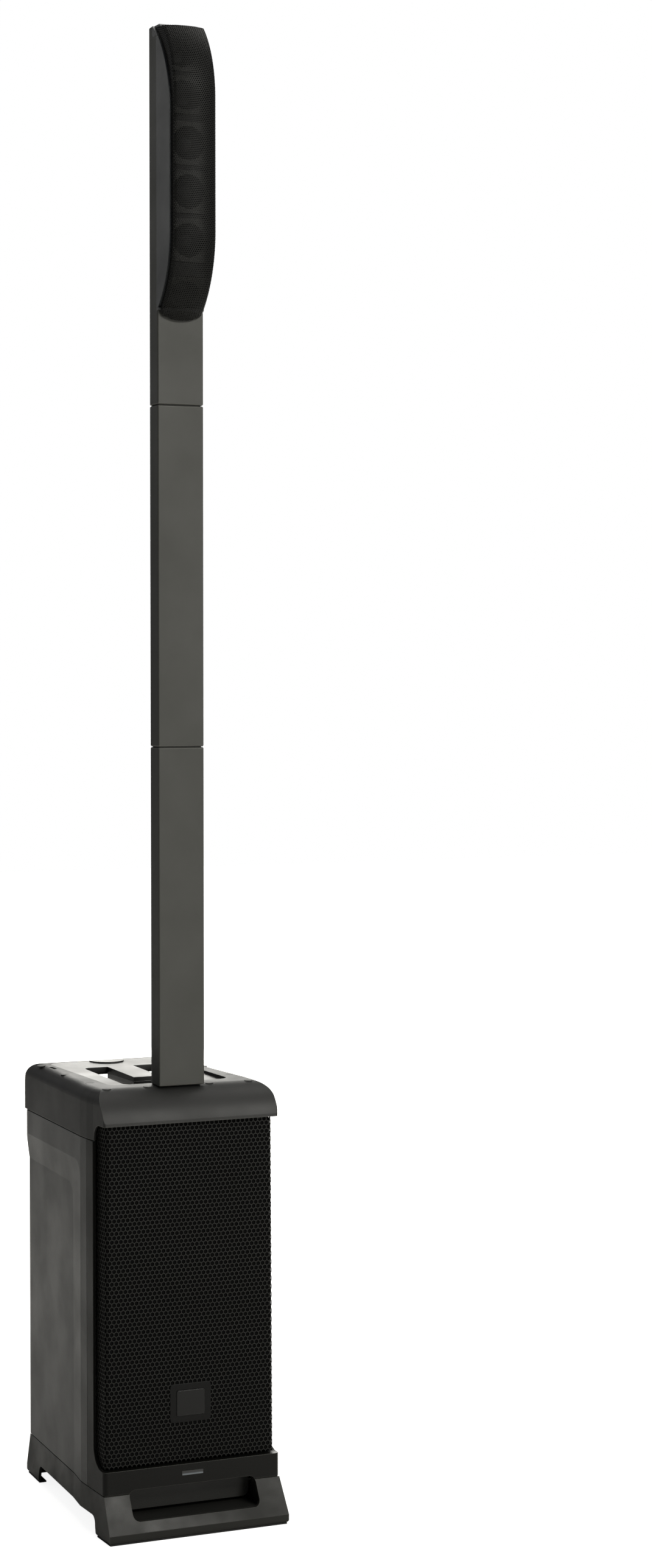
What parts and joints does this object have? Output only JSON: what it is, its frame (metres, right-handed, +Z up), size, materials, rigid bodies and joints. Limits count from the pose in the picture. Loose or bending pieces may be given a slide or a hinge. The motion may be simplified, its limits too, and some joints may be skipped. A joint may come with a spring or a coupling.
{
  "type": "column pa system",
  "caption": "Column loudspeaker system: a bass cabinet with carrying handle, two column spacers and an array head that stack by plug-in tongues.",
  "frame": {"origin": "centre of the base's footprint, on the floor", "axes": "X to the right seen from the front, +Y to the back with the grilles facing -Y, +Z up along the column"},
  "size_m": [0.252, 0.389, 1.9542],
  "materials": {
    "cabinet_plastic": "fine textured black",
    "grip_plastic": "smooth black",
    "column_metal": "matt charcoal powder coat",
    "inner_plastic": "matt black",
    "grille_metal": "perforated, matt black",
    "badge_plastic": "plain",
    "light_lens": "translucent, pale grey",
    "sole_rubber": "matt",
    "contact_metal": "plated",
    "cone_paper": "black pulp",
    "surround_rubber": "matt",
    "spider_cloth": "corrugated cloth",
    "basket_metal": "black pressed steel",
    "magnet_ferrite": "ground",
    "pole_steel": "plated",
    "panel_plastic": "fine textured black",
    "knob_plastic": "soft touch",
    "button_rubber": "matt",
    "socket_plastic": "smooth",
    "chassis_aluminium": "bare",
    "circuit_board": "lacquered board"
  },
  "bodies": {
    "cabinet": {"amp_chassis": "chassis_aluminium", "amplifier_board": "circuit_board", "aux_jacks": "socket_plastic", "badge_plate": "badge_plastic", "base_skirt": "cabinet_plastic", "cabinet_shell": "cabinet_plastic", "column_socket": "inner_plastic", "combo_jacks": "socket_plastic", "control_board": "circuit_board", "control_panel": "panel_plastic", "deck_plugs": "cabinet_plastic", "front_frame": "cabinet_plastic", "handle_grip": "grip_plastic", "handle_tray": "cabinet_plastic", "output_socket": "socket_plastic", "port_duct": "cabinet_plastic", "power_inlet": "socket_plastic", "rear_lip": "cabinet_plastic", "rubber_feet": "sole_rubber", "status_light": "light_lens", "switch_frame": "socket_plastic", "top_cap": "cabinet_plastic", "woofer_frame": "basket_metal", "woofer_grille": "grille_metal", "woofer_magnet": "magnet_ferrite", "woofer_pole": "pole_steel", "woofer_spider": "spider_cloth", "woofer_surround": "surround_rubber"},
    "lower_spacer": {"lower_spacer_tube": "column_metal", "lower_spacer_plug": "inner_plastic", "lower_spacer_contacts": "contact_metal", "lower_spacer_socket": "inner_plastic"},
    "upper_spacer": {"upper_spacer_tube": "column_metal", "upper_spacer_plug": "inner_plastic", "upper_spacer_contacts": "contact_metal", "upper_spacer_socket": "inner_plastic"},
    "array_head": {"driver_cones": "cone_paper", "driver_frames": "basket_metal", "driver_magnets": "magnet_ferrite", "head_baffle": "inner_plastic", "head_contacts": "contact_metal", "head_grille": "grille_metal", "head_plug": "inner_plastic", "head_shell": "inner_plastic", "head_spine": "column_metal"},
    "channel_knob_1": {"channel_knob_1": "knob_plastic"},
    "channel_knob_2": {"channel_knob_2": "knob_plastic"},
    "channel_knob_3": {"channel_knob_3": "knob_plastic"},
    "master_knob": {"master_knob": "knob_plastic"},
    "pairing_button": {"pairing_button": "button_rubber"},
    "ducking_button": {"ducking_button": "button_rubber"},
    "feedback_button": {"feedback_button": "button_rubber"},
    "preset_button": {"preset_button": "button_rubber"},
    "power_rocker": {"power_rocker": "socket_plastic"},
    "woofer_motor_cone": {"woofer_cone": "cone_paper", "woofer_dust_cap": "cone_paper"}
  },
  "joints": [
    {"name": "lower_spacer_lift", "type": "slide", "parent": "cabinet", "child": "lower_spacer", "axis": [0, 0, 1], "range_m": [0, 0.06]},
    {"name": "upper_spacer_lift", "type": "slide", "parent": "lower_spacer", "child": "upper_spacer", "axis": [0, 0, 1], "range_m": [0, 0.06]},
    {"name": "array_head_lift", "type": "slide", "parent": "upper_spacer", "child": "array_head", "axis": [0, 0, 1], "range_m": [0, 0.06]},
    {"name": "channel_knob_1_turn", "type": "hinge", "parent": "cabinet", "child": "channel_knob_1", "pos_m": [0.057, 0.174, 0.4473], "axis": [0, 1, 0], "range_deg": [-150, 150]},
    {"name": "channel_knob_2_turn", "type": "hinge", "parent": "cabinet", "child": "channel_knob_2", "pos_m": [0.019, 0.174, 0.4473], "axis": [0, 1, 0], "range_deg": [-150, 150]},
    {"name": "channel_knob_3_turn", "type": "hinge", "parent": "cabinet", "child": "channel_knob_3", "pos_m": [-0.019, 0.174, 0.4473], "axis": [0, 1, 0], "range_deg": [-150, 150]},
    {"name": "master_knob_turn", "type": "hinge", "parent": "cabinet", "child": "master_knob", "pos_m": [-0.057, 0.174, 0.4473], "axis": [0, 1, 0], "range_deg": [-150, 150]},
    {"name": "pairing_button_press", "type": "slide", "parent": "cabinet", "child": "pairing_button", "axis": [0, -1, 0], "range_m": [0, 0.0015], "stiffness_N_per_m": 400},
    {"name": "ducking_button_press", "type": "slide", "parent": "cabinet", "child": "ducking_button", "axis": [0, -1, 0], "range_m": [0, 0.0015], "stiffness_N_per_m": 400},
    {"name": "feedback_button_press", "type": "slide", "parent": "cabinet", "child": "feedback_button", "axis": [0, -1, 0], "range_m": [0, 0.0015], "stiffness_N_per_m": 400},
    {"name": "preset_button_press", "type": "slide", "parent": "cabinet", "child": "preset_button", "axis": [0, -1, 0], "range_m": [0, 0.0015], "stiffness_N_per_m": 400},
    {"name": "power_rocker_tilt", "type": "hinge", "parent": "cabinet", "child": "power_rocker", "pos_m": [-0.034, 0.1805, 0.1023], "axis": [1, 0, 0], "range_deg": [0, 16]},
    {"name": "woofer_cone_travel", "type": "slide", "parent": "cabinet", "child": "woofer_motor_cone", "axis": [0, -1, 0], "range_m": [-0.004, 0.004], "stiffness_N_per_m": 2000}
  ]
}
